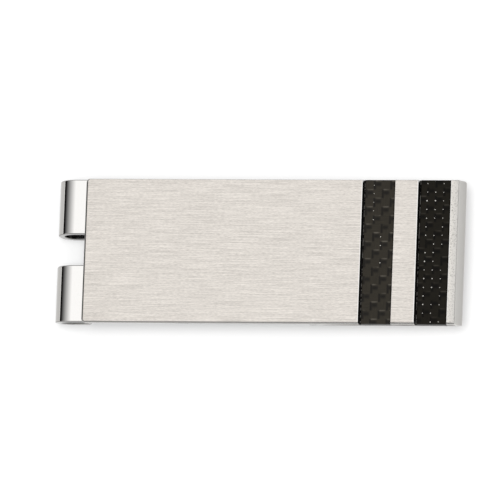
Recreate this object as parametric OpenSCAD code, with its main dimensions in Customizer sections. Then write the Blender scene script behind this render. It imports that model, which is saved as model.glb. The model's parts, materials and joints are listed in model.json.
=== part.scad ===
// Money clip: a stainless face plate with two inlays, on a folded spring strip.
// Millimetres. +X runs from the bend towards the free end, +Z out of the face.
// The origin is under the middle of the clip, on the surface that it lies on.

/* [Face plate] */
// Length of the face plate
plate_len = 50.1; // [46:0.1:60]
// Width of the face plate
plate_w = 19; // [16:0.1:26]
// Thickness of the face plate at its free end
plate_t = 1.6; // [1.4:0.05:2.4]
// Length of the slope at the free end
nose_len = 0.8; // [0.3:0.05:1]
// Height that the slope takes off the free end
nose_drop = 1.2; // [0.2:0.05:1.3]
// Radius of the plate's upright corners
corner_r = 0.3; // [0.1:0.05:1]

/* [Inlays] */
// Width of the steel left between the slope and the outer channel
tail_w = 1.07; // [0.5:0.01:3]
// Width of each channel
channel_w = 4.23; // [3:0.01:6]
// Width of the steel bar left between the channels
bar_w = 3.12; // [2:0.01:4]
// Depth of each channel
channel_depth = 1.2; // [0.7:0.05:1.3]
// Depth of the inlays' top below the face
inlay_recess = 0.12; // [0:0.01:0.3]
// Thickness of the adhesive under an inlay
adhesive_t = 0.06; // [0.03:0.01:0.15]
// Gap between an inlay and each wall of its channel
inlay_gap = 0.03; // [0.01:0.01:0.1]

/* [Spring strip] */
// Thickness of the strip
strip_t = 0.8; // [0.5:0.05:1]
// Width by which the strip falls short of the plate on each side
strip_inset = 0.1; // [0.1:0.05:1]
// Sideways offset of the strip on the plate, towards the rear
strip_shift = 0.1; // [0:0.01:0.1]
// Outer radius of the bend
bend_r = 2.5; // [2:0.05:4]
// Straight length of strap between the plate's edge and the bend
strap_out = 1.5; // [0.5:0.1:3]
// Width that the front strap loses on its outer side, round the bend
front_tuck = 0.4; // [0.05:0.05:0.9]

/* [Slot] */
// Width of the slot between the two straps
slot_w = 4.12; // [2:0.01:6]
// Sideways offset of the slot from the plate's centre line, towards the rear
slot_shift = 0.25; // [0:0.01:0.5]
// Length that the slot runs in under the plate
slot_in = 2.2; // [1:0.1:3]
// Length of the slot in the lower leaf
slot_lower = 14; // [8:0.5:24]

/* [Upper leaf and welds] */
// Length of the strip let into the back of the plate
upper_len = 30; // [22:0.5:32]
// Gap between the end of the upper leaf and its step in the plate
step_gap = 0.1; // [0.05:0.05:0.3]
// Number of pairs of plug welds
weld_pairs = 3; // [2:1:4]
// Radius of the plug welds
weld_r = 1.1; // [0.8:0.05:1.5]
// Gap round each plug weld
weld_gap = 0.01; // [0.005:0.005:0.02]
// Distance from each end of the let-in length to its nearest pair of welds
weld_start = 5.5; // [5:0.5:7]
// Distance from each side of the strip to its row of welds
weld_edge = 3.4; // [2.5:0.1:4.5]

/* [Lower leaf] */
// Length of the full-width part next to the bend
shoulder_len = 1.9; // [1.5:0.1:3]
// Width that the leaf loses on each side at its shoulders
shoulder_step = 0.9; // [0.5:0.05:3]
// Radius of the corners at the leaf's tip
tip_r = 3; // [1:0.5:5]
// Distance from the plate's free end back to where the leaf presses
press_back = 7.6; // [6.5:0.1:12]
// Gap left between the leaf and the plate where it presses
grip_gap = 0.1; // [0.05:0.05:0.2]
// Angle at which the leaf rises to the plate
rise_angle = 20; // [14:1:28]
// Centre-line radius where the leaf starts to rise
rise_r = 10; // [4:0.5:12]
// Centre-line radius of the crest that presses
crest_r = 6; // [3:0.5:8]
// Angle at which the tip flares away from the plate
flare_angle = 22; // [10:1:30]
// Length of the flared tip
flare_len = 3; // [1:0.5:4]

/* [Hidden] */
$fn = 96;
over = 1;                       // how far a cutter passes the face that it cuts
arc_steps = 16;                 // points along each arc of the leaf
plate_x = (strap_out + bend_r - plate_len) / 2;   // the plate's edge at the bend
plate_z = 2 * bend_r - strip_t;                   // the plate's underside
face_z = plate_z + plate_t;
bend_x = plate_x - strap_out;                     // the bend's centre line
strip_front = strip_shift + strip_inset - plate_w / 2;
strip_rear = strip_shift - strip_inset + plate_w / 2;
outer_x = plate_x + plate_len - nose_len - tail_w - channel_w;
inner_x = outer_x - bar_w - channel_w;
channel_z = face_z - channel_depth;
inlay_z = channel_z + adhesive_t;
inlay_t = channel_depth - adhesive_t - inlay_recess;
weld_pitch = (upper_len - 2 * weld_start) / (weld_pairs - 1);

// The leaf's centre line: flat run, rising arc, straight slope, crest arc, flare.
press_x = plate_len - press_back + strap_out;     // from the bend's centre line
leaf_rise = plate_z - grip_gap - strip_t;
arcs_rise = (rise_r + crest_r) * (1 - cos(rise_angle));
slope_len = (leaf_rise - arcs_rise) / sin(rise_angle);
rise_run = (rise_r + crest_r) * sin(rise_angle) + slope_len * cos(rise_angle);
flat_len = press_x - rise_run;
leaf_reach = press_x + (crest_r + strip_t / 2) * sin(flare_angle)
    + flare_len * cos(flare_angle);

// A rectangle from its lower left corner, with four rounded corners.
module rounded_rect(size, r) {
    translate([r, 0]) square([size.x - 2 * r, size.y]);
    translate([0, r]) square([size.x, size.y - 2 * r]);
    for (x = [r, size.x - r], y = [r, size.y - r])
        translate([x, y]) circle(r);
}

// Stands a side view, drawn in X and Z, up between two Y positions.
module side_extrude(y0, y1) {
    translate([0, y1, 0]) rotate([90, 0, 0]) linear_extrude(y1 - y0) children();
}

// The slot's cutter, from beyond the bend to its round end at end_x.
module slot_cut(end_x, z0, z1) {
    start_x = bend_x - bend_r - over;
    straight = end_x - slot_w / 2 - start_x;
    translate([start_x, slot_shift, z0]) linear_extrude(z1 - z0) {
        translate([0, -slot_w / 2]) square([straight, slot_w]);
        translate([straight, 0]) circle(d = slot_w);
    }
}

// One channel across the plate's face.
module channel(x) {
    translate([x, -plate_w / 2 - over, channel_z])
        cube([channel_w, plate_w + 2 * over, channel_depth + over]);
}

module face_plate() {
    color("silver")
    difference() {
        intersection() {
            translate([plate_x, -plate_w / 2, plate_z])
                linear_extrude(plate_t) rounded_rect([plate_len, plate_w], corner_r);
            translate([plate_x, 0, plate_z])
                side_extrude(-plate_w / 2 - over, plate_w / 2 + over)
                    polygon([[0, 0], [plate_len, 0], [plate_len, plate_t - nose_drop],
                        [plate_len - nose_len, plate_t], [0, plate_t]]);
        }
        channel(inner_x);
        channel(outer_x);
        // step in the back that takes the upper leaf
        translate([plate_x - over, -plate_w / 2 - over, plate_z - over])
            cube([upper_len + step_gap + over, plate_w + 2 * over, strip_t + over]);
    }
}

// A carbon-fibre bar, as long as the plate is wide.
module inlay(x) {
    color([0.14, 0.13, 0.12])
    translate([x + inlay_gap, -plate_w / 2, inlay_z])
        cube([channel_w - 2 * inlay_gap, plate_w, inlay_t]);
}

// The adhesive bed between a channel's floor and its inlay.
module adhesive(x) {
    color([0.05, 0.05, 0.05])
    translate([x + inlay_gap, -plate_w / 2, channel_z])
        cube([channel_w - 2 * inlay_gap, plate_w, adhesive_t]);
}

// Places its children at every plug weld, on the upper leaf's underside.
module at_welds() {
    for (i = [0 : weld_pairs - 1], y = [strip_front + weld_edge, strip_rear - weld_edge])
        translate([plate_x + weld_start + i * weld_pitch, y, plate_z]) children();
}

module upper_leaf() {
    color("gainsboro")
    difference() {
        translate([bend_x, strip_front, plate_z])
            cube([strap_out + upper_len, strip_rear - strip_front, strip_t]);
        slot_cut(plate_x + slot_in, plate_z - over, plate_z + strip_t + over);
        at_welds() translate([0, 0, -over]) cylinder(r = weld_r, h = strip_t + 2 * over);
    }
}

module plug_welds() {
    color("darkgray")
    at_welds() cylinder(r = weld_r - weld_gap, h = strip_t);
}

// Half a ring, from the upper leaf round to the lower leaf.
module bend_ring(y0, y1) {
    translate([bend_x, 0, bend_r]) side_extrude(y0, y1)
        difference() {
            circle(bend_r);
            circle(bend_r - strip_t);
            translate([0, -bend_r - over]) square([bend_r + over, 2 * (bend_r + over)]);
        }
}

module bend_strap_front() {
    color("white")
    difference() {
        bend_ring(strip_front, slot_shift - slot_w / 2);
        // wedge off the outer side, widest at the bottom
        translate([bend_x - bend_r - over, 0, 0]) rotate([90, 0, 90])
            linear_extrude(bend_r + 2 * over)
                polygon([[strip_front - over, 2 * bend_r], [strip_front, 2 * bend_r],
                    [strip_front + front_tuck, 0], [strip_front + front_tuck, -over],
                    [strip_front - over, -over]]);
    }
}

module bend_strap_rear() {
    color("white")
    bend_ring(slot_shift + slot_w / 2, strip_rear);
}

// Points on the leaf's centre line are [x, z, heading].
function go_straight(p, length) =
    [p.x + length * cos(p.z), p.y + length * sin(p.z), p.z];

// Points along an arc from p, turning up for a positive angle.
function go_round(p, r, angle) = let (side = r * sign(angle))
    [for (i = [1 : arc_steps]) let (heading = p.z + angle * i / arc_steps)
        [p.x + side * (sin(heading) - sin(p.z)), p.y - side * (cos(heading) - cos(p.z)),
            heading]];

// The points moved sideways by d, to the left of the way that they run.
function beside(points, d) =
    [for (p = points) [p.x - d * sin(p.z), p.y + d * cos(p.z)]];

function reversed(list) = [for (i = [len(list) - 1 : -1 : 0]) list[i]];

module leaf_side() {
    start = [bend_x, strip_t / 2, 0];
    rise = go_round(go_straight(start, flat_len), rise_r, rise_angle);
    slope_end = go_straight(rise[arc_steps - 1], slope_len);
    crest = go_round(slope_end, crest_r, -rise_angle - flare_angle);
    tip = go_straight(crest[arc_steps - 1], flare_len);
    line = concat([start, go_straight(start, flat_len)], rise, [slope_end], crest, [tip]);
    polygon(concat(beside(line, strip_t / 2), reversed(beside(line, -strip_t / 2))));
}

// Fills a square inside corner at the origin out to a radius.
module inside_fillet(r) {
    difference() {
        square(r);
        translate([r, r]) circle(r);
    }
}

// The leaf from above: full width next to the bend, then shoulders and a tongue.
module leaf_plan() {
    front = strip_front + front_tuck;
    r = shoulder_step / 2;
    translate([bend_x, front]) square([shoulder_len - r, strip_rear - front]);
    translate([bend_x, front]) rounded_rect([shoulder_len, strip_rear - front], r);
    translate([bend_x, front + shoulder_step]) {
        tongue_w = strip_rear - front - 2 * shoulder_step;
        square([leaf_reach / 2, tongue_w]);
        rounded_rect([leaf_reach, tongue_w], tip_r);
        translate([shoulder_len, tongue_w]) inside_fillet(r);
        translate([shoulder_len, 0]) mirror([0, 1]) inside_fillet(r);
    }
}

module lower_leaf() {
    color("whitesmoke")
    difference() {
        intersection() {
            side_extrude(strip_front, strip_rear) leaf_side();
            translate([0, 0, -over]) linear_extrude(face_z + 2 * over) leaf_plan();
        }
        slot_cut(bend_x + slot_lower, -over, strip_t + over);
    }
}

face_plate();
inlay(inner_x);  // inlay_inner
inlay(outer_x);  // inlay_outer
adhesive(inner_x);  // adhesive_inner
adhesive(outer_x);  // adhesive_outer
upper_leaf();
bend_strap_front();
bend_strap_rear();
lower_leaf();
plug_welds();
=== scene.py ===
# %% [markdown]
# # A money clip
# A money clip is a strip of spring steel, folded once, with a face plate on top of it. Banknotes
# go between the plate and the strip's lower leaf. This lesson loads the clip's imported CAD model,
# which fixes every size, and builds the surfaces that the eye sees: brushed steel, black carbon
# twill and a mirror-polished spring. Every position is taken from the CAD model's own boxes.

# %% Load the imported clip
import json
import math
import random

import bmesh
import bpy
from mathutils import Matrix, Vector

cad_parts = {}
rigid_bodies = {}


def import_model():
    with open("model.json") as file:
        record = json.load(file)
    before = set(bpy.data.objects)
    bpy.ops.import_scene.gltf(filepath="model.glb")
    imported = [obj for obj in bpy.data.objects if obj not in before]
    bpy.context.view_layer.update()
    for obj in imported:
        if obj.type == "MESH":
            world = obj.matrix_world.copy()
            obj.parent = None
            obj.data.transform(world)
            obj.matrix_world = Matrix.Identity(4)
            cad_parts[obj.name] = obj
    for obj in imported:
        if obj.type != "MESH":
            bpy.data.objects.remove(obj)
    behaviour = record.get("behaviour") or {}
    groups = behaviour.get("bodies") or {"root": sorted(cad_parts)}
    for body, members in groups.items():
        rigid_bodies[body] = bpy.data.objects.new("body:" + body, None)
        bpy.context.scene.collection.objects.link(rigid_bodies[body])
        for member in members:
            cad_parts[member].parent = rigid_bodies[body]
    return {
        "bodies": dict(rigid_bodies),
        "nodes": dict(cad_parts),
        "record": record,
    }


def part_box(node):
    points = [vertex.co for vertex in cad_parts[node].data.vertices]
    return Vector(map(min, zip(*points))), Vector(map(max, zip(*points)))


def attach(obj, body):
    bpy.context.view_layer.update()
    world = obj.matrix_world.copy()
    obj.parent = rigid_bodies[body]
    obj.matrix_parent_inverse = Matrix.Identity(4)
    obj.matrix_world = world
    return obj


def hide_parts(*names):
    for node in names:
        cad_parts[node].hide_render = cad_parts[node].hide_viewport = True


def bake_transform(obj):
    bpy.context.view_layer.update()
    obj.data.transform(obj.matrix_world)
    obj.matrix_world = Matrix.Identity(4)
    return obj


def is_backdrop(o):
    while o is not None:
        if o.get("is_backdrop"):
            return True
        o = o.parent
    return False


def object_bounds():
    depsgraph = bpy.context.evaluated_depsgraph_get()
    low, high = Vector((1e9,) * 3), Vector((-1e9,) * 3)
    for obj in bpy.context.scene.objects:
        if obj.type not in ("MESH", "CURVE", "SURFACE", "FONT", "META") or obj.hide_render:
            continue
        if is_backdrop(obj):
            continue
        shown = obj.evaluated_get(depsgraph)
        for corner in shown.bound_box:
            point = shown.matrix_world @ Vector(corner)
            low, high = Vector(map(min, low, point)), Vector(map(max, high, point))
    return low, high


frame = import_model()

own = set(frame["nodes"].values()) | set(frame["bodies"].values())
for thing in list(bpy.data.objects):
    if thing not in own:
        bpy.data.objects.remove(thing)

cad_low, cad_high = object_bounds()
MM = 0.001
print("CAD box in mm:", [round(v / MM, 2) for v in cad_low], [round(v / MM, 2) for v in cad_high])

# %% [markdown]
# ## The camera
# The clip lies on its lower leaf and is seen almost from straight above. The camera stands a little
# towards the free end and a little towards the front, far off with a very long lens, so that
# parallel edges stay parallel. A direction and a distance say this better than three angles do,
# so the camera's axes are worked out from the direction that it looks back along.

# %% Camera
LOOK_FROM = Vector((0.184, -0.173, 0.967)).normalized()
AIM = Vector((-1.00, 0.14, 5.8)) * MM
FIELD = 65.0 * MM
ROLL = math.radians(2.15)

lens_data = bpy.data.cameras.new("long_lens")
lens_data.lens = 1000
lens_data.sensor_width = 36
distance = FIELD * lens_data.lens / lens_data.sensor_width
up = (Vector((0, 1, 0)) - LOOK_FROM * LOOK_FROM.y).normalized()
right = up.cross(LOOK_FROM)
rolled_up = up * math.cos(ROLL) - right * math.sin(ROLL)
rolled_right = right * math.cos(ROLL) + up * math.sin(ROLL)

camera = bpy.data.objects.new("camera", lens_data)
bpy.context.scene.collection.objects.link(camera)
turn = camera.matrix_world.to_3x3()
turn.col[0] = rolled_right
turn.col[1] = rolled_up
turn.col[2] = LOOK_FROM
camera.matrix_world = turn.to_4x4()
camera.location = AIM + LOOK_FROM * distance
bpy.context.scene.camera = camera
bpy.context.scene.view_settings.view_transform = "Standard"
print("camera distance in m:", round(distance, 3))

# %% [markdown]
# ## Two small helpers
# Every finish below is a tree of shader nodes. One helper adds a node with its settings and
# inputs, and another starts a finish with its main shader. A third turns a bmesh into a piece
# of the clip. Helpers keep the later cells short, so each can be about the finish itself.

# %% Helpers for finishes and pieces
def add(tree, kind, inputs=None, **settings):
    made = tree.nodes.new("ShaderNode" + kind)
    for name, value in settings.items():
        setattr(made, name, value)
    for key, value in (inputs or {}).items():
        if isinstance(value, bpy.types.NodeSocket):
            tree.links.new(value, made.inputs[key])
        else:
            made.inputs[key].default_value = value
    return made


def start_finish(name, **inputs):
    finish = bpy.data.materials.new(name)
    finish.use_nodes = True
    tree = finish.node_tree
    tree.nodes.clear()
    shader = add(tree, "BsdfPrincipled", inputs)
    add(tree, "OutputMaterial", {"Surface": shader.outputs["BSDF"]})
    place = add(tree, "TexCoord").outputs["Object"]
    return finish, tree, shader, place


def make_piece(name, bm, finish, smooth=True):
    mesh = bpy.data.meshes.new(name)
    bm.to_mesh(mesh)
    bm.free()
    piece = bpy.data.objects.new(name, mesh)
    bpy.context.scene.collection.objects.link(piece)
    mesh.materials.append(finish)
    for face in mesh.polygons:
        face.use_smooth = smooth
    print(name, "has", len(mesh.polygons), "faces")
    return piece


def grain(tree, place, size, detail=2.0, rough=0.5):
    """Noise whose marks have the given size in metres along X, Y and Z."""
    scale = tuple(1 / s for s in size)
    stretched = add(tree, "Mapping", {"Vector": place, "Scale": scale}).outputs["Vector"]
    inputs = {"Vector": stretched, "Scale": 1.0, "Detail": detail, "Roughness": rough}
    return add(tree, "TexNoise", inputs).outputs["Fac"]


def ramp(tree, value, low, high, out_low=0.0, out_high=1.0, shape="LINEAR"):
    """Carries a value from one range to another, and stops at the ends."""
    inputs = {"Value": value, "From Min": low, "From Max": high}
    inputs.update({"To Min": out_low, "To Max": out_high})
    return add(tree, "MapRange", inputs, interpolation_type=shape).outputs["Result"]


def calc(tree, operation, first, second=0.0):
    return add(tree, "Math", {0: first, 1: second}, operation=operation).outputs["Value"]


def mix_colour(tree, factor, first, second):
    inputs = {0: factor, 6: first, 7: second}
    return add(tree, "Mix", inputs, data_type="RGBA").outputs[2]


# %% [markdown]
# ## Sizes from the CAD boxes
# Each piece takes its place from the box of the CAD part that it stands for. The few sizes that a
# box can't give, such as the radius of an edge, are named here in millimetres.

# %% Sizes
plate_low, plate_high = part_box("face_plate")
strip_low, strip_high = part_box("upper_leaf")
bend_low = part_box("bend_strap_rear")[0]
front_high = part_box("bend_strap_front")[1]
leaf_low, leaf_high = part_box("lower_leaf")
inner_low, inner_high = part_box("inlay_inner")
outer_low, outer_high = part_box("inlay_outer")
bed_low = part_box("adhesive_inner")[0]

INLAY_GAP = 0.03 * MM
STEP_GAP = 0.1 * MM
NOSE_LEN = 0.8 * MM
NOSE_DROP = 1.2 * MM
CORNER_R = 0.5 * MM
print("plate is", round((plate_high.x - plate_low.x) / MM, 2), "mm long")

# %% [markdown]
# ## Brushed steel
# The face is stainless steel drawn along an abrasive belt, so its surface is full of very fine
# lines that run the length of the plate. Their depth is far below a tenth of a millimetre. Noise
# stretched along X gives such lines, some under a millimetre long and some much longer, and they
# change the colour, the roughness and the bump together, as real scratches do. Beyond the outer inlay the
# belt has left a pitted band, and the slope at the end is smoother and has no lines. The slope is
# painted darker, and darker still towards its end: painted shade. Edges that have been broken by hand
# are smoother than the faces. They and the plate's walls are painted darker too, as painted shade, so
# the finish asks the surface's own normal whether it lies on the flat of the face. A bright line
# along each channel's left edge, and one into the tail, is a painted highlight. The same normal keeps
# the pits and the painted highlights off the plate's back and sides.

# %% Brushed steel finish
PLATE_LIGHT = (0.797, 0.751, 0.699, 1)
PLATE_DARK = (0.550, 0.518, 0.481, 1)
TAIL_LIGHT = (0.74, 0.71, 0.665, 1)
TAIL_FAR = (0.60, 0.585, 0.56, 1)
PIT_DARK = (0.40, 0.385, 0.36, 1)
# Painted shade: the end slope is darker than the face, and darker still towards its end.
NOSE_SHADE_TONE = (0.58, 0.567, 0.545, 1)
NOSE_END_SHADE = (0.47, 0.46, 0.44, 1)
# Painted shade: the walls and the eased edges are darker than the face.
WALL_SHADE_TONE = (0.53, 0.518, 0.50, 1)
EDGE_SHADE_TONE = (0.30, 0.29, 0.278, 1)
# Painted highlight: the bright lines along the channels' edges and into the tail.
PAINTED_HIGHLIGHT_TONE = (0.93, 0.915, 0.89, 1)

LINE_GAP = 0.07 * MM
brushed, tree, shader, place = start_finish("brushed_steel", Metallic=1.0, Anisotropic=0.5)
short_lines = grain(tree, place, (0.5 * MM, LINE_GAP, LINE_GAP), 3.0, 0.7)
long_lines = grain(tree, place, (5.0 * MM, LINE_GAP, LINE_GAP), 2.0, 0.6)
lines = add(tree, "Mix", {0: 0.50, 2: short_lines, 3: long_lines}).outputs[0]
lines = ramp(tree, lines, 0.40, 0.60)
steel = mix_colour(tree, lines, PLATE_DARK, PLATE_LIGHT)

along = add(tree, "SeparateXYZ", {"Vector": place}).outputs["X"]
tail_start = outer_high.x + INLAY_GAP
nose_start = plate_high.x - NOSE_LEN
own_normal = tree.nodes["Texture Coordinate"].outputs["Normal"]
upright = add(tree, "SeparateXYZ", {"Vector": own_normal}).outputs["Z"]
faces_up = ramp(tree, upright, 0.30, 0.60)
in_tail = ramp(tree, along, tail_start, tail_start + 0.05 * MM)
in_tail = calc(tree, "MULTIPLY", in_tail, faces_up)
on_nose = ramp(tree, along, nose_start - 0.02 * MM, nose_start + 0.04 * MM)

speckle = grain(tree, place, (0.20 * MM, 0.18 * MM, 0.18 * MM), 2.0, 0.7)
pits = ramp(tree, speckle, 0.30, 0.50)
down_tail = ramp(tree, along, tail_start, nose_start)
tail_steel = mix_colour(tree, down_tail, TAIL_LIGHT, TAIL_FAR)
tail_steel = mix_colour(tree, pits, PIT_DARK, tail_steel)
steel = mix_colour(tree, in_tail, steel, tail_steel)


def strip_between(low, high, soft):
    """1 between two places along the plate, 0 outside them."""
    rising = ramp(tree, along, low - soft, low + soft)
    falling = ramp(tree, along, high - soft, high + soft, 1.0, 0.0)
    return calc(tree, "MULTIPLY", rising, falling)


# A bright line is painted along each channel's left edge, and one into the tail: a painted highlight.
painted_highlight = strip_between(tail_start, tail_start + 0.09 * MM, 0.03 * MM)
for channel in (inner_low, outer_low):
    line = strip_between(channel.x - 0.17 * MM, channel.x, 0.03 * MM)
    painted_highlight = calc(tree, "MAXIMUM", painted_highlight, line)
painted_highlight = calc(tree, "MULTIPLY", painted_highlight, faces_up)
steel = mix_colour(tree, painted_highlight, steel, PAINTED_HIGHLIGHT_TONE)
on_flat = ramp(tree, calc(tree, "ABSOLUTE", upright), 0.975, 0.999)
on_edge = calc(tree, "SUBTRACT", calc(tree, "SUBTRACT", 1.0, on_flat), on_nose)
on_edge = calc(tree, "MAXIMUM", on_edge, 0.0)
on_wall = ramp(tree, calc(tree, "ABSOLUTE", upright), 0.08, 0.25, 1.0, 0.0)
# Painted shade on the walls and the eased edges.
painted_side_shade = mix_colour(tree, on_wall, EDGE_SHADE_TONE, WALL_SHADE_TONE)
steel = mix_colour(tree, on_edge, steel, painted_side_shade)
# Painted shade down the end slope.
down_nose = ramp(tree, along, nose_start, plate_high.x)
steel = mix_colour(tree, on_nose, steel, mix_colour(tree, down_nose, NOSE_SHADE_TONE, NOSE_END_SHADE))
tree.links.new(steel, shader.inputs["Base Color"])

line_rough = ramp(tree, lines, 0.0, 1.0, 0.42, 0.30)
edge_rough = add(tree, "Mix", {0: on_edge, 2: line_rough, 3: 0.13}).outputs[0]
tree.links.new(edge_rough, shader.inputs["Roughness"])
relief = add(tree, "Mix", {0: in_tail, 2: lines, 3: pits}).outputs[0]
relief = calc(tree, "MULTIPLY", relief, on_flat)
bump = add(tree, "Bump", {"Height": relief, "Strength": 0.20, "Distance": 0.02 * MM})
tree.links.new(bump.outputs["Normal"], shader.inputs["Normal"])
drawn = add(tree, "Tangent", direction_type="UV_MAP", uv_map="drawn")
tree.links.new(drawn.outputs["Tangent"], shader.inputs["Tangent"])
print("brushed steel lines are", round(LINE_GAP / MM, 3), "mm apart")

# %% [markdown]
# ## The face plate
# The real plate is a bar of steel, milled with two channels across its face and with a step in
# its back that takes the spring. All of that shows in one side view, so the plate is that side
# view pushed across its width. The two upright corners by the bend are rounded first, so that the
# eased edge of the face can follow them round. A bevel by weight then eases every other edge, each
# by its own amount. Done in one bevel, the face would keep a sharp point at both corners.

# %% Face plate: side view
floor_z = bed_low.z
top_z = plate_high.z
step_x = strip_high.x + STEP_GAP
side_view = [(plate_low.x, strip_high.z), (step_x, strip_high.z), (step_x, plate_low.z)]
side_view += [(plate_high.x, plate_low.z), (plate_high.x, top_z - NOSE_DROP)]
side_view += [(nose_start, top_z)]
for low, high in ((outer_low, outer_high), (inner_low, inner_high)):
    right_wall = high.x + INLAY_GAP
    left_wall = low.x - INLAY_GAP
    side_view += [(right_wall, top_z), (right_wall, floor_z)]
    side_view += [(left_wall, floor_z), (left_wall, top_z)]
side_view += [(plate_low.x, top_z)]
print("side view has", len(side_view), "corners")

# %% Face plate: solid with broken edges
FRONT_EDGE_R = 0.24 * MM
REAR_EDGE_R = 0.07 * MM
LEFT_EDGE_R = 0.30 * MM
CHANNEL_EDGE_R = 0.06 * MM
BACK_EDGE_R = 0.08 * MM
NOSE_SIDE_R = 0.12 * MM
END_CORNER_R = 0.30 * MM
CORNER_STEPS = 8


def edge_radius(a, b):
    """How far the edge from a to b is rounded, by where it is on the plate."""
    middle = (a + b) / 2
    if abs(a.x - b.x) < 0.01 * MM and abs(a.y - b.y) < 0.01 * MM:
        return END_CORNER_R if middle.x > plate_high.x - 0.01 * MM else 0.0
    if abs(a.z - b.z) > 0.3 * MM:
        return NOSE_SIDE_R
    if middle.z > top_z - 0.01 * MM:
        side_r = FRONT_EDGE_R if middle.y < 0 else REAR_EDGE_R
        if middle.x < plate_low.x + CORNER_R:
            across = abs(b.y - a.y) / (b - a).length
            return side_r + (LEFT_EDGE_R - side_r) * across * across
        return CHANNEL_EDGE_R if abs(b.y - a.y) > MM else side_r
    if abs(middle.z - floor_z) < 0.01 * MM and inner_low.x - MM < middle.x < tail_start + 0.1 * MM:
        return 0.0
    if abs(middle.x - step_x) < 0.01 * MM and middle.z > strip_low.z + 0.1 * MM:
        return 0.0
    return BACK_EDGE_R


bm = bmesh.new()
front_ring = [bm.verts.new((x, plate_low.y, z)) for x, z in side_view]
rear_ring = [bm.verts.new((x, plate_high.y, z)) for x, z in side_view]
bm.faces.new(front_ring)
bm.faces.new(list(reversed(rear_ring)))
for i in range(len(side_view)):
    j = (i + 1) % len(side_view)
    bm.faces.new((front_ring[j], front_ring[i], rear_ring[i], rear_ring[j]))
bmesh.ops.recalc_face_normals(bm, faces=bm.faces)
uprights = [edge for edge in bm.edges
            if all(abs(v.co.x - plate_low.x) < 0.01 * MM for v in edge.verts)
            and abs(edge.verts[0].co.y - edge.verts[1].co.y) < 0.01 * MM]
bmesh.ops.bevel(bm, geom=uprights, offset=CORNER_R, offset_type="OFFSET",
                segments=CORNER_STEPS, profile=0.5, affect="EDGES")
print("rounded", len(uprights), "upright corners by", round(CORNER_R / MM, 2), "mm")
weight = bm.edges.layers.float.new("bevel_weight_edge")
for edge in bm.edges:
    a, b = (v.co for v in edge.verts)
    edge[weight] = edge_radius(a, b) / CORNER_R
drawn_map = bm.loops.layers.uv.new("drawn")
for face in bm.faces:
    for loop in face.loops:
        x, y, z = loop.vert.co
        loop[drawn_map].uv = (x * 50, (y + z) * 50)
face_plate = make_piece("brushed_face_plate", bm, brushed)
broken = face_plate.modifiers.new("broken_edges", "BEVEL")
broken.limit_method = "WEIGHT"
broken.width = CORNER_R
broken.segments = 4
broken.use_clamp_overlap = False
broken.harden_normals = True
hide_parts("face_plate")
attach(face_plate, "clip_body")

# %% [markdown]
# ## Mirror polish
# The spring is polished until it reflects like a mirror, so nearly all of its look comes from
# what stands round it. The finish itself only needs very fine wiping marks, which spread the
# reflection slightly here and there, and a faint waviness that polishing always leaves. The cut
# rims, the lower half of the fold and its inside are painted darker, as painted shade. The mesh
# marks all three, and the finish reads the marks. They fade out past the fold, onto the flat leaf.

# %% Polished steel finish
MIRROR_TONE = (0.760, 0.748, 0.730, 1)
WIPED_TONE = (0.69, 0.678, 0.660, 1)
# Painted shade: the lower half of the fold, the fold's inside and the cut rims.
LOW_SIDE_SHADE_TONE = (0.43, 0.42, 0.405, 1)
INSIDE_SHADE_TONE = (0.055, 0.053, 0.050, 1)
RIM_SHADE_TONE = (0.24, 0.235, 0.225, 1)

polished, tree, shader, place = start_finish("polished_steel", Metallic=1.0)
wiping = grain(tree, place, (3.0 * MM, 0.05 * MM, 0.05 * MM), 3.0, 0.7)
wiped = ramp(tree, wiping, 0.62, 0.72)
MARKS = ("rim", "inside", "low_side")
rim, inside, low_side = (add(tree, "Attribute", attribute_name=mark).outputs["Fac"]
                         for mark in MARKS)
mirror = mix_colour(tree, wiped, MIRROR_TONE, WIPED_TONE)
# The three marks paint shade onto the mirror colour.
mirror = mix_colour(tree, low_side, mirror, LOW_SIDE_SHADE_TONE)
mirror = mix_colour(tree, inside, mirror, INSIDE_SHADE_TONE)
mirror = mix_colour(tree, rim, mirror, RIM_SHADE_TONE)
tree.links.new(mirror, shader.inputs["Base Color"])
gloss = ramp(tree, wiped, 0.0, 1.0, 0.045, 0.14)
gloss = add(tree, "Mix", {0: inside, 2: gloss, 3: 0.30}).outputs[0]
tree.links.new(gloss, shader.inputs["Roughness"])
waves = grain(tree, place, (2.5 * MM, 3.5 * MM, 2.5 * MM), 1.0)
bump = add(tree, "Bump", {"Height": waves, "Strength": 0.08, "Distance": 0.02 * MM})
tree.links.new(bump.outputs["Normal"], shader.inputs["Normal"])

# %% [markdown]
# ## The folded spring
# The real spring is one strip of steel: blanked flat with its slot, then folded round a mandrel.
# The piece is made in the same order. First comes the line that the strip's middle follows, as a
# function from the length along the strip to a place and a direction. Then the blank's outline is
# drawn flat. Then the blank gets its thickness and eased rims, and last it is bent to the line.

# %% Spring: the line that its middle follows
STRIP_T = strip_high.z - strip_low.z
HALF_T = STRIP_T / 2
bend_x = strip_low.x
BEND_R = bend_x - bend_low.x - HALF_T
upper_run = strip_high.x - bend_x
bend_run = math.pi * BEND_R

RISE_R = 10.0 * MM
RISE_ANGLE = math.radians(20)
CREST_R = 6.0 * MM
FLARE_ANGLE = math.radians(22)
FLARE_LEN = 3.0 * MM
press_at = next(m for m in frame["record"]["mounts"] if m["name"] == "bill_grip")["pos_m"][0]
leaf_rise = leaf_high.z - leaf_low.z - STRIP_T
arcs_rise = (RISE_R + CREST_R) * (1 - math.cos(RISE_ANGLE))
slope_run = (leaf_rise - arcs_rise) / math.sin(RISE_ANGLE)
rise_run = (RISE_R + CREST_R) * math.sin(RISE_ANGLE) + slope_run * math.cos(RISE_ANGLE)
flat_run = press_at - bend_x - rise_run

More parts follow.
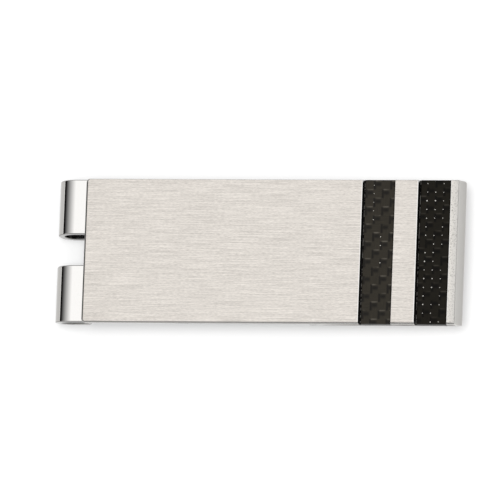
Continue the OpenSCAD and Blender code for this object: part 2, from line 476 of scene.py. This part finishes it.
# Each stretch of the strip: its length, and how much it turns, in the order that it is bent.
stretches = [(upper_run, 0.0), (bend_run, math.pi), (flat_run, 0.0)]
stretches += [(RISE_R * RISE_ANGLE, RISE_ANGLE), (slope_run, 0.0)]
stretches += [(CREST_R * (RISE_ANGLE + FLARE_ANGLE), -RISE_ANGLE - FLARE_ANGLE)]
stretches += [(FLARE_LEN, 0.0)]
strip_run = sum(length for length, turned in stretches)


def strip_line(s):
    """Where the strip's middle is at length s: its X, its Z and its heading."""
    x, z, heading = strip_high.x, strip_high.z - HALF_T, math.pi
    for length, turned in stretches:
        part = min(s, length)
        if turned:
            r = length / turned
            end = heading + turned * part / length
            x += r * (math.sin(end) - math.sin(heading))
            z -= r * (math.cos(end) - math.cos(heading))
            heading = end
        else:
            x += part * math.cos(heading)
            z += part * math.sin(heading)
        s -= part
        if s <= 0:
            break
    return x, z, heading


tip = strip_line(strip_run)
print("strip is", round(strip_run / MM, 2), "mm long flat; its tip is at X", round(tip[0] / MM, 2))

# %% [markdown]
# The blank is wide under the plate, has a slot from the plate round the bend and into the lower
# leaf, and narrows at two shoulders to a tongue with round corners. Each rim is written as a few
# straight runs and quarter rounds, and the front rim comes in slightly as it goes round the bend.

# %% Spring: outline of the flat blank
SHOULDER_AT = 1.9 * MM
SHOULDER_STEP = 0.9 * MM
TIP_R = 3.0 * MM
SLOT_IN = 2.2 * MM
SLOT_LOWER = 14.0 * MM
slot_front, slot_rear = front_high.y, bend_low.y
slot_r = (slot_rear - slot_front) / 2
slot_y = (slot_rear + slot_front) / 2
leaf_start = upper_run + bend_run
tuck = leaf_low.y - strip_low.y


def quarter(cs, cy, r, from_deg, to_deg, steps=10):
    """Points of a round, from one angle to another about a centre on the blank."""
    angles = [math.radians(from_deg + (to_deg - from_deg) * i / steps) for i in range(steps + 1)]
    return [(cs + r * math.cos(a), cy + r * math.sin(a)) for a in angles]


def long_rim(side, edge_at):
    """One long rim of the blank, on the side given by -1 or 1, from its start to its tip."""
    r = SHOULDER_STEP / 2
    corner = 0.25 * MM
    start = edge_at(0.0)
    rim = [(corner * (1 - math.cos(a)), start - side * corner * (1 - math.sin(a)))
           for a in [math.radians(18 * i) for i in range(6)]]
    steps = 60
    rim += [(upper_run + bend_run * i / steps, edge_at(math.pi * i / steps))
            for i in range(steps + 1)]
    y = edge_at(math.pi)
    shoulder = leaf_start + SHOULDER_AT
    if side > 0:
        rim += quarter(shoulder - r, y - r, r, 90, 0)
        rim += quarter(shoulder + r, y - r, r, 180, 270)[1:]
        rim += quarter(strip_run - TIP_R, y - SHOULDER_STEP - TIP_R, TIP_R, 90, 0, 24)
    else:
        rim += quarter(shoulder - r, y + r, r, -90, 0)
        rim += quarter(shoulder + r, y + r, r, 180, 90)[1:]
        rim += quarter(strip_run - TIP_R, y + SHOULDER_STEP + TIP_R, TIP_R, -90, 0, 24)
    return rim


def front_edge(turned):
    return strip_low.y + tuck * (1 - math.cos(turned)) / 2


def rear_edge(turned):
    return strip_high.y


outline = long_rim(-1, front_edge) + list(reversed(long_rim(1, rear_edge)))
slot_start = strip_high.x - (plate_low.x + SLOT_IN)
slot_end = leaf_start + SLOT_LOWER
slot = quarter(slot_start + slot_r, slot_y, slot_r, 270, 90, 32)
slot += quarter(slot_end - slot_r, slot_y, slot_r, 90, -90, 32)
print("outline has", len(outline), "points and the slot", len(slot))

# %% [markdown]
# The strip also has round holes in it, which the plug welds fill. Where they are is measured on
# the welds themselves: each separate lump of that mesh gives one hole, a hair wider than itself.

# %% Spring: the holes that the welds fill
WELD_FIT = 0.005 * MM


def lumps_of(carried):
    """The centre and the radius of each separate lump in a mesh, seen from above."""
    bm = bmesh.new()
    bm.from_mesh(carried.data)
    bm.transform(carried.matrix_world)
    bmesh.ops.remove_doubles(bm, verts=bm.verts, dist=1e-7)
    seen, found = set(), []
    for start in bm.verts:
        if start in seen:
            continue
        seen.add(start)
        lump = [start]
        for vert in lump:
            for other in [edge.other_vert(vert) for edge in vert.link_edges]:
                if other not in seen:
                    seen.add(other)
                    lump.append(other)
        xs = [vert.co.x for vert in lump]
        ys = [vert.co.y for vert in lump]
        r = (max(xs) - min(xs)) / 2
        found.append(((max(xs) + min(xs)) / 2, (max(ys) + min(ys)) / 2, r))
    bm.free()
    return found


bpy.context.view_layer.update()
weld_holes = [quarter(strip_high.x - x, y, r + WELD_FIT, 0, 360, 48)
              for x, y, r in lumps_of(frame["nodes"]["plug_welds"])]
print("holes for", len(weld_holes), "welds")

# %% [markdown]
# A rim that is eased looks far better in metal than a sharp one, because it always catches some
# light. Rings of the outline, each a little further in and a little higher, make a round rim of
# exactly the radius wanted, also round the slot's ends where a bevel would bunch up. The normals
# are worked out with the rings and kept, so the flat faces reflect without any waviness.

# %% Spring: the blank as a solid with eased rims
RIM_R = 0.12 * MM
RIM_STEPS = 4
WELD_RIM_R = 0.01 * MM


def ring_normals(ring, solid_inside):
    """The direction out of the steel at each point of a ring that runs round it."""
    normals = []
    for i, here in enumerate(ring):
        before = Vector(ring[i - 1])
        after = Vector(ring[(i + 1) % len(ring)])
        first = (Vector(here) - before).normalized()
        second = (after - Vector(here)).normalized()
        run = (first + second).normalized()
        widen = 1 / max(0.5, run.dot(first))
        out = Vector((run.y, -run.x)) * (1 if solid_inside else -1)
        normals.append((out, widen))
    return normals


def area_of(ring):
    pairs = zip(ring, ring[1:] + ring[:1])
    return sum(a[0] * b[1] - b[0] * a[1] for a, b in pairs) / 2


def without_repeats(ring):
    kept = []
    for point in ring:
        if not kept or (Vector(point) - Vector(kept[-1])).length > 1e-7:
            kept.append(point)
    if (Vector(kept[0]) - Vector(kept[-1])).length <= 1e-7:
        kept.pop()
    return kept if area_of(kept) > 0 else list(reversed(kept))


def rim_profile(r):
    """Rings of a rim eased to radius r: how far in, how high, and how tilted each one is."""
    upper = []
    for i in range(RIM_STEPS + 1):
        a = math.pi / 2 * i / RIM_STEPS
        upper.append((r * (1 - math.cos(a)), HALF_T - r + r * math.sin(a), a))
    return [(o, -w, -a) for o, w, a in reversed(upper)] + upper


bm = bmesh.new()
rings = [(outline, True, RIM_R), (slot, False, RIM_R)]
rings += [(hole, False, WELD_RIM_R) for hole in weld_holes]
normal_of = {}
cap_edges = {1: [], -1: []}
for ring, solid_inside, rim_r in rings:
    ring = without_repeats(ring)
    normals = ring_normals(ring, solid_inside)
    levels = []
    for inset, w, tilt in rim_profile(rim_r):
        level = []
        for (s, y), (out, widen) in zip(ring, normals):
            place_in = Vector((s, y)) - out * inset * widen
            vert = bm.verts.new((place_in.x, place_in.y, w))
            facing = out * math.cos(tilt)
            normal_of[vert] = Vector((facing.x, facing.y, math.sin(tilt)))
            level.append(vert)
        levels.append(level)
    for lower, upper in zip(levels, levels[1:]):
        for i in range(len(ring)):
            j = (i + 1) % len(ring)
            bm.faces.new((lower[i], lower[j], upper[j], upper[i]))
    for side, level in ((-1, levels[0]), (1, levels[-1])):
        for i in range(len(ring)):
            cap_edges[side].append(bm.edges.get((level[i], level[(i + 1) % len(ring)])))
for side, edges in cap_edges.items():
    bmesh.ops.triangle_fill(bm, use_beauty=True, edges=edges)
print("blank has", len(bm.faces), "faces before bending")

# %% Spring: cut across where it bends, then bend it
BEND_CUTS = 96
SNAP = 0.003 * MM
fade_from = upper_run - 4.0 * MM
fade_to = upper_run - 1.0 * MM
cuts = [fade_from, fade_to]
cuts += [upper_run + bend_run * i / BEND_CUTS for i in range(BEND_CUTS + 1)]
s = 0.0
for length, turned in stretches:
    if abs(turned) > 0 and s > leaf_start - 1e-9:
        cuts += [s + length * i / 24 for i in range(25)]
    s += length
for cut in cuts:
    everything = bm.verts[:] + bm.edges[:] + bm.faces[:]
    bmesh.ops.bisect_plane(bm, geom=everything, dist=SNAP, plane_co=(cut, 0, 0),
                           plane_no=(1, 0, 0))


def share(value):
    """The value, kept between 0 and 1."""
    return max(0.0, min(1.0, value))


def rim_facing(vert):
    """The flat blank's normal where a cut made a new point: from its height and its edges."""
    level = max(-1.0, min(1.0, (abs(vert.co.z) - (HALF_T - RIM_R)) / RIM_R))
    if level > 0.999:
        return Vector((0, 0, math.copysign(1, vert.co.z)))
    tilt = math.asin(max(0.0, level))
    sideways = Vector((0, 0, 0))
    for face in vert.link_faces:
        sideways += face.normal
    sideways.z = 0
    sideways.normalize()
    sideways *= math.cos(tilt)
    sideways.z = math.copysign(math.sin(tilt), vert.co.z)
    return sideways


bmesh.ops.recalc_face_normals(bm, faces=bm.faces)
bm.normal_update()
facings = [normal_of[vert] if vert in normal_of else rim_facing(vert) for vert in bm.verts]

# %% [markdown]
# Each point of the blank now gets its three marks, its bent normal and its bent place, in that
# order, since all of them are worked out from where the point was on the flat blank.

# %% Spring: marks, then the bend
FOLD_REACH = 2.0 * MM
FOLD_FADE = 3.0 * MM
RIM_ON_LEAF = 0.30
RIM_LEANS_BELOW = 0.93
INSIDE_ON_LEAF = 0.12
INSIDE_LOOKS_BELOW = -0.5
LOW_SIDE_FROM = 38
LOW_SIDE_FADE = 4
LOW_SIDE_RUN = bend_run / 3

# The marks place the spring's painted shade.
bent_normals, marks = [], []
for vert, facing in zip(bm.verts, facings):
    in_fold = share((leaf_start + FOLD_REACH - vert.co.x) / FOLD_FADE)
    by_fold = min(in_fold, share((vert.co.x - fade_from) / (fade_to - fade_from)))
    x, z, heading = strip_line(max(0.0, vert.co.x))
    on_rim, on_inside = 0.0, 0.0
    if abs(facing.z) < RIM_LEANS_BELOW:
        on_rim = RIM_ON_LEAF + (1 - RIM_ON_LEAF) * in_fold
    if facing.z < INSIDE_LOOKS_BELOW:
        on_inside = INSIDE_ON_LEAF + (1 - INSIDE_ON_LEAF) * by_fold
    turned_down = math.degrees(heading) - 180
    still_bent = share((leaf_start - vert.co.x) / LOW_SIDE_RUN)
    on_low_side = share((turned_down - LOW_SIDE_FROM) / LOW_SIDE_FADE) * still_bent
    marks.append((on_rim, on_inside, on_low_side))
    run = Vector((math.cos(heading), 0, math.sin(heading)))
    outward = Vector((math.sin(heading), 0, -math.cos(heading)))
    bent_normals.append(run * facing.x + Vector((0, facing.y, 0)) + outward * facing.z)
    vert.co = Vector((x, vert.co.y, z)) + outward * vert.co.z
bmesh.ops.reverse_faces(bm, faces=bm.faces)
spring = make_piece("folded_spring_strip", bm, polished)
for index, mark in enumerate(MARKS):
    note = spring.data.attributes.new(mark, "FLOAT", "POINT")
    note.data.foreach_set("value", [m[index] for m in marks])
spring.data.normals_split_custom_set_from_vertices([n.normalized() for n in bent_normals])

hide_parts("upper_leaf", "bend_strap_front", "bend_strap_rear", "lower_leaf")
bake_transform(spring)

# %% [markdown]
# ## Carbon twill
# Each inlay is a bar cut from a sheet of carbon fibre in black resin. Flat bundles of fibre, the
# tows, run both ways, and each crosses over two and under two of the others, one step along from
# its neighbour, which gives the stairs of a twill. The weave is real relief here: a grid whose
# height at each point is that of whichever tow is on top. Painting it on would look flat when
# the light moves. The grid also notes which way the top tow runs, where a tow dives, and the side
# just past it. The finish paints a highlight where a tow dives and shade on the side past it:
# painted highlight and painted shade. Along its left side each bar stops short of the steel, and
# the groove between them is filled with black resin, which looks almost like ink. A broken
# painted highlight runs along a ridge in that groove.

# %% Carbon twill: height of the weave
TOW_X = 1.07 * MM
TOW_Y = 1.14 * MM
CRIMP = 0.014 * MM
CROWN = 0.012 * MM
GROOVE_W = 0.33 * MM
GROOVE_DEEP = 0.30 * MM
RIDGE_AT = 0.22 * MM
RIDGE_HALF = 0.07 * MM
END_R = 0.12 * MM


def window(value, middle, half):
    """1 at the middle, falling smoothly to 0 at half a width from it."""
    near = max(0.0, 1 - abs(value - middle) / half)
    return near * near * (3 - 2 * near)


def weave_at(x, y, first_tow, lean, phase):
    """Depth below the bar's top, then the notes: cross tow, dive, shaded side."""
    q = (x - first_tow.x - lean * y) / TOW_X
    r = (y - first_tow.y) / TOW_Y
    column, row = math.floor(q), math.floor(r)
    u, v = q - column - 0.5, r - row - 0.5
    long_swing = math.sin(math.pi / 2 * (r - column) + phase)
    cross_swing = -math.sin(math.pi / 2 * (row + 0.5 - (q - 0.5)) + phase)
    long_top = CRIMP * max(-1, min(1, 1.8 * long_swing)) - CROWN * (2 * u) ** 4
    cross_top = CRIMP * max(-1, min(1, 1.8 * cross_swing)) - CROWN * (2 * v) ** 4
    across = 1.0 if cross_top > long_top else 0.0
    body = max(0.0, 1 - (2.3 * u) ** 4)
    dive = max(0.0, 1 - abs(long_swing) / 0.16) * body
    past = (r - column + 2 * phase / math.pi) % 2
    shade = window(past, 1.62, 0.42) * body
    if past > 1.0:
        shade = max(shade, window(u, -0.42, 0.26))
    else:
        shade = max(shade, window(u, 0.5, 0.10))
    return CRIMP - max(long_top, cross_top), across, dive, shade


def eased(distance_in):
    """How far an eased edge has dropped at a distance in from the side."""
    if distance_in >= END_R:
        return 0.0
    return END_R - math.sqrt(max(0.0, END_R ** 2 - (END_R - distance_in) ** 2))


def stops(low, high, pitch):
    """Grid lines between two sides, closer together where the edges are eased."""
    near = [0.0, 0.008 * MM, 0.025 * MM, 0.05 * MM, 0.08 * MM, END_R]
    count = max(2, round((high - low - 2 * END_R) / pitch))
    inside = [low + END_R + (high - low - 2 * END_R) * i / count for i in range(1, count)]
    return [low + d for d in near] + inside + [high - d for d in reversed(near)]


# %% Carbon twill finish
NOTES = ("across", "dive", "shade", "lip", "groove")
INK = (0.0015, 0.0015, 0.0015, 1)
# Painted highlight: the broken bright line along the groove's ridge.
RIDGE_GLINT_TONE = (0.24, 0.23, 0.21, 1)
INNER_TONE = (0.0370, 0.0312, 0.0215, 1)
INNER_GLINT = (0.120, 0.108, 0.088, 1)
INNER_GLOSS = 0.15
OUTER_TONE = (0.0142, 0.0120, 0.0078, 1)
OUTER_GLINT = (0.046, 0.041, 0.033, 1)
OUTER_GLOSS = 0.08


def carbon_finish(name, tone, glint_tone, gloss):
    finish, tree, shader, place = start_finish(name)
    across, dive, shade, lip, groove = (
        add(tree, "Attribute", attribute_name=note).outputs["Fac"] for note in NOTES)
    long_fibre = grain(tree, place, (0.035 * MM, 1.2 * MM, 1.0 * MM), 3.0, 0.7)
    cross_fibre = grain(tree, place, (1.2 * MM, 0.035 * MM, 1.0 * MM), 3.0, 0.7)
    fibre = add(tree, "Mix", {0: across, 2: long_fibre, 3: cross_fibre}).outputs[0]
    fibre = ramp(tree, fibre, 0.3, 0.7)
    darker = tuple(c * 0.45 for c in tone[:3]) + (1,)
    black = mix_colour(tree, fibre, darker, tone)
    # Painted shade on the side just past each dive.
    shaded = tuple(c * 0.18 for c in tone[:3]) + (1,)
    black = mix_colour(tree, shade, black, shaded)
    uneven = grain(tree, place, (1.4 * MM, 1.1 * MM, 1.0 * MM), 1.0)
    # Painted highlight where a tow dives.
    lit = calc(tree, "MULTIPLY", dive, ramp(tree, uneven, 0.35, 0.6))
    black = mix_colour(tree, lit, black, glint_tone)
    black = mix_colour(tree, groove, black, INK)
    # A broken painted highlight along the ridge in the groove.
    broken = grain(tree, place, (1.0 * MM, 0.55 * MM, 1.0 * MM), 2.0, 0.8)
    ridge_lit = calc(tree, "MULTIPLY", lip, ramp(tree, broken, 0.46, 0.56))
    black = mix_colour(tree, ridge_lit, black, RIDGE_GLINT_TONE)
    tree.links.new(black, shader.inputs["Base Color"])
    rough = ramp(tree, fibre, 0.0, 1.0, 0.36, 0.52)
    rough = add(tree, "Mix", {0: groove, 2: rough, 3: 0.75}).outputs[0]
    tree.links.new(rough, shader.inputs["Roughness"])
    shader.inputs["Specular IOR Level"].default_value = gloss
    bump = add(tree, "Bump", {"Height": fibre, "Strength": 0.25, "Distance": 0.01 * MM})
    tree.links.new(bump.outputs["Normal"], shader.inputs["Normal"])
    return finish


carbon_inner = carbon_finish("carbon_twill_inner", INNER_TONE, INNER_GLINT, INNER_GLOSS)
carbon_outer = carbon_finish("carbon_twill_outer", OUTER_TONE, OUTER_GLINT, OUTER_GLOSS)

# %% Carbon twill: the two bars
def carbon_bar(name, node, finish, first, lean, phase):
    low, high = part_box(node)
    first_tow = low + Vector(first) * MM
    xs, ys = stops(low.x, high.x, 0.07 * MM), stops(low.y, high.y, 0.07 * MM)
    ridge = [RIDGE_AT + RIDGE_HALF * k for k in (-1, -0.5, 0, 0.5, 1)]
    ridge = [low.x + d for d in ridge + [GROOVE_W]]
    xs = sorted([x for x in xs if min(abs(x - d) for d in ridge) > 0.012 * MM] + ridge)
    bm = bmesh.new()
    notes, grid = [], []
    for y in ys:
        line = []
        for x in xs:
            deep, across, dive, shade = weave_at(x, y, first_tow, lean, phase)
            side = min(y - low.y, high.y - y)
            groove = max(0.0, min(1.0, (GROOVE_W - (x - low.x)) / (0.04 * MM)))
            lip = window(x - low.x, RIDGE_AT, RIDGE_HALF)
            deep = deep * (1 - groove) + GROOVE_DEEP * groove * (1 - 0.8 * lip)
            deep += eased(side) + eased(high.x - x)
            line.append(bm.verts.new((x, y, high.z - deep)))
            notes.append((across, dive, shade, lip, groove))
        grid.append(line)
    for lower, upper in zip(grid, grid[1:]):
        for i in range(len(xs) - 1):
            bm.faces.new((lower[i], lower[i + 1], upper[i + 1], upper[i]))
    rim = grid[0][:-1] + [line[-1] for line in grid[:-1]]
    rim += list(reversed(grid[-1][1:])) + [line[0] for line in reversed(grid[1:])]
    foot = [bm.verts.new((v.co.x, v.co.y, low.z)) for v in rim]
    # The bar's sides take part of the painted shade from the foot.
    notes += [(0.0, 0.0, 0.6, 0.0, 0.0)] * len(foot)
    for i in range(len(rim)):
        j = (i + 1) % len(rim)
        bm.faces.new((rim[j], rim[i], foot[i], foot[j]))
    bm.faces.new(list(reversed(foot)))
    bar = make_piece(name, bm, finish)
    for index, title in enumerate(NOTES):
        note = bar.data.attributes.new(title, "FLOAT", "POINT")
        note.data.foreach_set("value", [n[index] for n in notes])
    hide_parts(node)
    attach(bar, "clip_body")
    return first_tow


INNER_FIRST_TOW = (0.40, 0.07, 0)
OUTER_FIRST_TOW = (0.02, 0.30, 0)
INNER_PHASE = 0.813
OUTER_PHASE = 2.32
LEAN = 0.008
weave_inner = carbon_bar("carbon_bar_inner", "inlay_inner", carbon_inner,
                         INNER_FIRST_TOW, 0.0, INNER_PHASE)
weave_outer = carbon_bar("carbon_bar_outer", "inlay_outer", carbon_outer,
                         OUTER_FIRST_TOW, LEAN, OUTER_PHASE)

# %% [markdown]
# ## Pinholes in the weave
# Where four tows meet there is a tiny hole in the cloth. Resin fills it, and a row of light dots
# runs between the tows. Each dot is a small closed plug with an eased top and a pale, speckled
# colour. They differ in size, and some are missing, because the holes are not all open. The seed
# is fixed, so that the same dots come out each time.

# %% Pinholes
# Pale dots with a speckled colour.
pale_dot_finish, tree, shader, place = start_finish("pale_dots", Roughness=0.6)
pale_speckle = grain(tree, place, (0.05 * MM, 0.05 * MM, 0.05 * MM), 2.0)
tree.links.new(mix_colour(tree, pale_speckle, (0.34, 0.33, 0.30, 1), (0.80, 0.77, 0.72, 1)),
               shader.inputs["Base Color"])


def dot(bm, x, y, top, size):
    """A small round plug with an eased top, standing in the weave."""
    rings = []
    for reach, deep in ((1.0, 0.045 * MM), (1.0, 0.004 * MM), (0.7, 0.001 * MM)):
        ring = []
        for i in range(12):
            a = math.pi * i / 6
            spot = (x + size * reach * math.cos(a), y + size * reach * math.sin(a), top - deep)
            ring.append(bm.verts.new(spot))
        rings.append(ring)
    for lower, upper in zip(rings, rings[1:]):
        for i in range(12):
            j = (i + 1) % 12
            bm.faces.new((lower[i], lower[j], upper[j], upper[i]))
    bm.faces.new(rings[-1])
    bm.faces.new(list(reversed(rings[0])))


def pinholes(name, node, first_tow, lean, columns, seed):
    """Columns are (tow number, lowest Y, chance that a hole shows, size)."""
    low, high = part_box(node)
    pick = random.Random(seed)
    bm = bmesh.new()
    for tow, from_y, chance, size in columns:
        for row in range(17):
            y = first_tow.y + row * TOW_Y + pick.uniform(-0.02, 0.02) * MM
            x = first_tow.x + tow * TOW_X + lean * y + pick.uniform(-0.02, 0.02) * MM
            grown = size * pick.uniform(0.72, 1.15)
            shows = pick.random() < chance
            if shows and from_y < y < high.y - 0.15 * MM:
                dot(bm, x, y, high.z, grown)
    dots = make_piece(name, bm, pale_dot_finish)
    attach(dots, "clip_body")


outer_columns = ((1, -9.5 * MM, 0.94, 0.080 * MM), (2, -9.5 * MM, 0.94, 0.080 * MM),
                 (3, -9.5 * MM, 0.75, 0.055 * MM))
inner_columns = ((1, 3.8 * MM, 0.95, 0.060 * MM), (2, -6.0 * MM, 0.07, 0.060 * MM),
                 (3, -6.0 * MM, 0.07, 0.045 * MM))
pinholes("pinholes_outer", "inlay_outer", weave_outer, LEAN, outer_columns, 5)
pinholes("pinholes_inner", "inlay_inner", weave_inner, 0.0, inner_columns, 8)

# %% [markdown]
# ## Adhesive and welds
# The carbon bars sit in black epoxy, which shows as a thin dark line under their ends. Six plug
# welds hold the spring to the plate from behind, ground flush, so they show as dull discs with
# swirled grinding marks. Both are carried over from the CAD model and only need a finish.

# %% Adhesive and weld finishes
epoxy, tree, shader, place = start_finish("black_epoxy")
lumps = grain(tree, place, (0.25 * MM, 0.25 * MM, 0.1 * MM), 3.0)
tree.links.new(mix_colour(tree, lumps, (0.006, 0.006, 0.006, 1), (0.022, 0.021, 0.020, 1)),
               shader.inputs["Base Color"])
tree.links.new(ramp(tree, lumps, 0.3, 0.7, 0.25, 0.55), shader.inputs["Roughness"])
bump = add(tree, "Bump", {"Height": lumps, "Strength": 0.4, "Distance": 0.02 * MM})
tree.links.new(bump.outputs["Normal"], shader.inputs["Normal"])

weld, tree, shader, place = start_finish("ground_weld", Metallic=1.0)
swirl = grain(tree, place, (0.12 * MM, 0.35 * MM, 0.2 * MM), 4.0, 0.7)
tree.links.new(mix_colour(tree, swirl, (0.34, 0.33, 0.31, 1), (0.66, 0.64, 0.60, 1)),
               shader.inputs["Base Color"])
tree.links.new(ramp(tree, swirl, 0.3, 0.7, 0.3, 0.6), shader.inputs["Roughness"])
bump = add(tree, "Bump", {"Height": swirl, "Strength": 0.3, "Distance": 0.02 * MM})
tree.links.new(bump.outputs["Normal"], shader.inputs["Normal"])

for node, finish in (("adhesive_inner", epoxy), ("adhesive_outer", epoxy), ("plug_welds", weld)):
    carried = frame["nodes"][node]
    carried.data.materials.clear()
    carried.data.materials.append(finish)
    print(node, "is finished with", finish.name)

# %% [markdown]
# ## Table
# The clip lies on a plain table. The table is a matt surface that takes the clip's soft shadow.
# A little light of its own, only where the camera or a reflection looks at it, brings it up to
# white without putting any more light on the clip. From below, the table is clear as glass, so
# that the clip's underside can be looked at.

# %% Table
TABLE_HALF = 1.5
TABLE_TONE = 0.38
GLOW = 0.30
table_finish = bpy.data.materials.new("white_table")
table_finish.use_nodes = True
tree = table_finish.node_tree
tree.nodes.clear()
matt = add(tree, "BsdfDiffuse", {"Color": (TABLE_TONE, TABLE_TONE, TABLE_TONE, 1)})
path = add(tree, "LightPath")
looked_at = calc(tree, "MAXIMUM", path.outputs["Is Camera Ray"], path.outputs["Is Glossy Ray"])
looked_at = calc(tree, "MAXIMUM", looked_at, path.outputs["Is Transmission Ray"])
glow = add(tree, "Emission", {"Strength": calc(tree, "MULTIPLY", looked_at, GLOW)})
both = add(tree, "AddShader", {0: matt.outputs[0], 1: glow.outputs[0]})
from_below = add(tree, "NewGeometry").outputs["Backfacing"]
clear = add(tree, "BsdfTransparent")
sided = add(tree, "MixShader", {0: from_below, 1: both.outputs[0], 2: clear.outputs[0]})
add(tree, "OutputMaterial", {"Surface": sided.outputs[0]})

bm = bmesh.new()
corners = ((-1, -1), (1, -1), (1, 1), (-1, 1))
bm.faces.new([bm.verts.new((x * TABLE_HALF, y * TABLE_HALF, 0)) for x, y in corners])
table = make_piece("table", bm, table_finish)
table.location.z = cad_low.z
table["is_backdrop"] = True

# %% [markdown]
# The table has a lamp of its own, a soft one almost straight overhead. Light linking keeps it
# off the clip, so it only draws the clip's shadow, close in under the front and the right-hand
# edges, and leaves the table white everywhere else.

# %% Lamp for the table
LAMP_FROM = Vector((0.08, -0.08, 0.99))
LAMP_ANGLE = math.radians(28)
LAMP_SHARE = 0.46
lamp_data = bpy.data.lights.new("table_lamp", "SUN")
lamp_data.angle = LAMP_ANGLE
lamp_data.energy = LAMP_SHARE * math.pi / TABLE_TONE
lamp = bpy.data.objects.new("table_lamp", lamp_data)
bpy.context.scene.collection.objects.link(lamp)
lamp.rotation_euler = LAMP_FROM.to_track_quat("Z", "Y").to_euler()
lit_by_lamp = bpy.data.collections.new("lit_by_table_lamp")
lit_by_lamp.objects.link(table)
lamp.light_linking.receiver_collection = lit_by_lamp

# %% [markdown]
# ## Soft studio light
# Polished metal shows the room. Here the room is a round white tent, a little brighter straight
# overhead and dim only in a low band just above the table, which gives the metal's edges their
# fine dark lines. Beside the bend stands a tall grey card, darker towards its foot. The round of
# the bend shows that card, and so runs from black at its side to white on top. All of it is one
# world shader: what the camera would see of the tent, the metal sees too.

# %% Light tent
TENT = 1.04
WALL_RISE = (math.radians(6), math.radians(20))
HORIZON_FALL = (math.radians(1.5), math.radians(3))
TOP_RISE = (math.radians(60), math.radians(78))
CARD_RISE = (math.radians(9), math.radians(75))
OVERHEAD = 1.28
CARD_AT = 0.185
world = bpy.data.worlds.new("light_tent")
bpy.context.scene.world = world
world.use_nodes = True
tree = world.node_tree
tree.nodes.clear()
way = add(tree, "TexCoord").outputs["Generated"]
sides = add(tree, "SeparateXYZ", {"Vector": way})
height = calc(tree, "ARCSINE", sides.outputs["Z"])
wall = ramp(tree, height, *WALL_RISE, 0.10, TENT, "SMOOTHSTEP")
horizon = ramp(tree, height, *HORIZON_FALL, 1.0, 0.0)
wall = calc(tree, "MAXIMUM", wall, horizon)
top = ramp(tree, height, *TOP_RISE, 0.0, OVERHEAD - TENT, "SMOOTHSTEP")
wall = calc(tree, "ADD", wall, top)
card = ramp(tree, height, *CARD_RISE)
card = calc(tree, "MULTIPLY", calc(tree, "POWER", card, 1.35), OVERHEAD)
beside = calc(tree, "ABSOLUTE", calc(tree, "SUBTRACT", sides.outputs["Y"], CARD_AT))
on_card = ramp(tree, beside, 0.10, 0.20, 1.0, 0.0, "SMOOTHSTEP")
bend_side = ramp(tree, sides.outputs["X"], 0.0, 0.10, 1.0, 0.0, "SMOOTHSTEP")
on_card = calc(tree, "MULTIPLY", on_card, bend_side)
tent = add(tree, "Mix", {0: on_card, 2: wall, 3: card}).outputs[0]
lit = add(tree, "Background", {"Strength": tent})
lit.inputs["Color"].default_value = (1, 1, 1, 1)
add(tree, "OutputWorld", {"Surface": lit.outputs[0]})

# %% Print the visual box and finish
low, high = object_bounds()
print("visual box in mm:", [round(v / MM, 2) for v in low], [round(v / MM, 2) for v in high])
